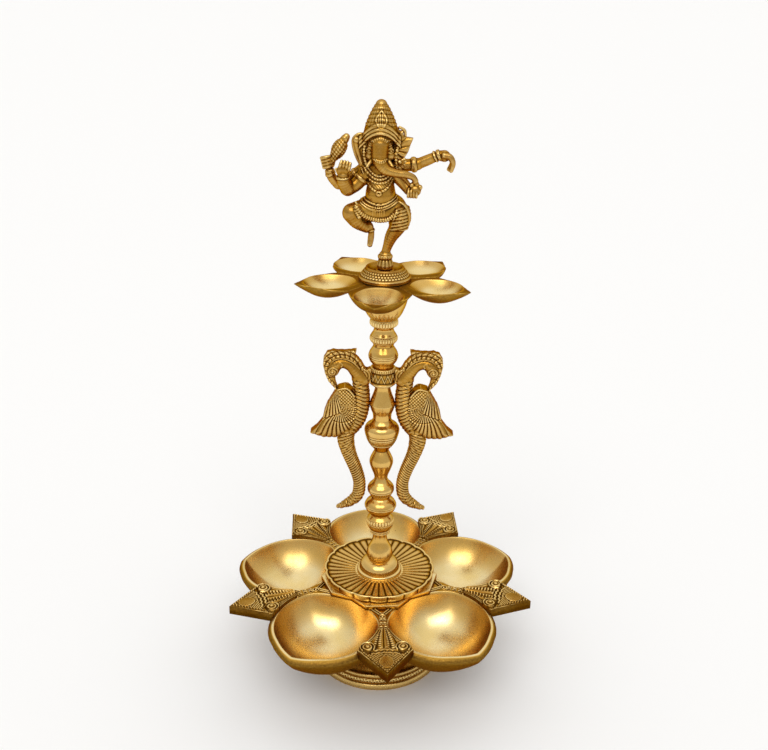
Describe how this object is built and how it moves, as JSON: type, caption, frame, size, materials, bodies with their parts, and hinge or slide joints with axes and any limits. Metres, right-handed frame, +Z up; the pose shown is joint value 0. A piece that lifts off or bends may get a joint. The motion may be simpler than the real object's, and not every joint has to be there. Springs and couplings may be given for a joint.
{
  "type": "standing oil lamp",
  "caption": "Brass standing oil lamp with a bowled lower tray, screwed stem, paired peacocks, petal upper tray and a dancing elephant-headed figure.",
  "frame": {"origin": "centre of the foot's underside, on the stem's axis", "axes": "+Z up along the stem, -Y towards the front that the figure faces, +X to the viewer's right"},
  "size_m": [0.2329, 0.2402, 0.4448],
  "materials": {
    "turned_brass": "polished turned brass",
    "satin_bowl_brass": "satin buffed cast brass",
    "antiqued_cast_brass": "cast brass with dark patina in the recesses",
    "steel_fastener": "plain steel"
  },
  "bodies": {
    "base": {"foot_pedestal": "antiqued_cast_brass", "tie_washer": "steel_fastener", "tie_nut": "steel_fastener", "tie_stud": "steel_fastener", "lower_tray": "satin_bowl_brass", "lotus_disc": "antiqued_cast_brass", "base_cone": "turned_brass", "pear_section": "turned_brass"},
    "lower_stud_body": {"lower_stud": "steel_fastener"},
    "lower_stem_body": {"lower_stem": "turned_brass"},
    "middle_stud_body": {"middle_stud": "steel_fastener"},
    "middle_stem_body": {"middle_stem": "turned_brass"},
    "peacock_body": {"peacock_collar": "antiqued_cast_brass", "peacock_left": "antiqued_cast_brass", "peacock_right": "antiqued_cast_brass", "peacock_rivets": "steel_fastener"},
    "upper_stud_body": {"upper_stud": "steel_fastener"},
    "upper_stem_body": {"upper_stem": "turned_brass", "tray_cup": "turned_brass"},
    "upper_tray_body": {"upper_tray": "satin_bowl_brass"},
    "boss_body": {"tray_boss": "antiqued_cast_brass"},
    "figure_stud_body": {"figure_stud": "steel_fastener"},
    "figure_body": {"dancing_figure": "antiqued_cast_brass"}
  },
  "joints": [
    {"name": "lower_stem_rise", "type": "slide", "parent": "base", "child": "lower_stud_body", "axis": [0, 0, 1], "range_m": [0, 0.008]},
    {"name": "lower_stem_turn", "type": "hinge", "parent": "lower_stud_body", "child": "lower_stem_body", "pos_m": [0, 0, 0], "axis": [0, 0, 1], "range_deg": [0, 2880]},
    {"name": "middle_stem_rise", "type": "slide", "parent": "lower_stem_body", "child": "middle_stud_body", "axis": [0, 0, 1], "range_m": [0, 0.008]},
    {"name": "middle_stem_turn", "type": "hinge", "parent": "middle_stud_body", "child": "middle_stem_body", "pos_m": [0, 0, 0], "axis": [0, 0, 1], "range_deg": [0, 2880]},
    {"name": "peacock_turn", "type": "hinge", "parent": "middle_stem_body", "child": "peacock_body", "pos_m": [0, 0, 0], "axis": [0, 0, 1], "continuous": true},
    {"name": "upper_stem_rise", "type": "slide", "parent": "middle_stem_body", "child": "upper_stud_body", "axis": [0, 0, 1], "range_m": [0, 0.008]},
    {"name": "upper_stem_turn", "type": "hinge", "parent": "upper_stud_body", "child": "upper_stem_body", "pos_m": [0, 0, 0], "axis": [0, 0, 1], "range_deg": [0, 2880]},
    {"name": "upper_tray_turn", "type": "hinge", "parent": "upper_stem_body", "child": "upper_tray_body", "pos_m": [0, 0, 0], "axis": [0, 0, 1], "continuous": true},
    {"name": "boss_turn", "type": "hinge", "parent": "upper_tray_body", "child": "boss_body", "pos_m": [0, 0, 0], "axis": [0, 0, 1], "continuous": true},
    {"name": "figure_rise", "type": "slide", "parent": "upper_stem_body", "child": "figure_stud_body", "axis": [0, 0, 1], "range_m": [0, 0.0064]},
    {"name": "figure_turn", "type": "hinge", "parent": "figure_stud_body", "child": "figure_body", "pos_m": [0, 0, 0], "axis": [0, 0, 1], "range_deg": [0, 2880]}
  ],
  "couplings": [
    {"joint": "lower_stem_turn", "follows": "lower_stem_rise", "rad_per_m": 6283.2},
    {"joint": "middle_stem_turn", "follows": "middle_stem_rise", "rad_per_m": 6283.2},
    {"joint": "upper_stem_turn", "follows": "upper_stem_rise", "rad_per_m": 6283.2},
    {"joint": "figure_turn", "follows": "figure_rise", "rad_per_m": 7854}
  ]
}
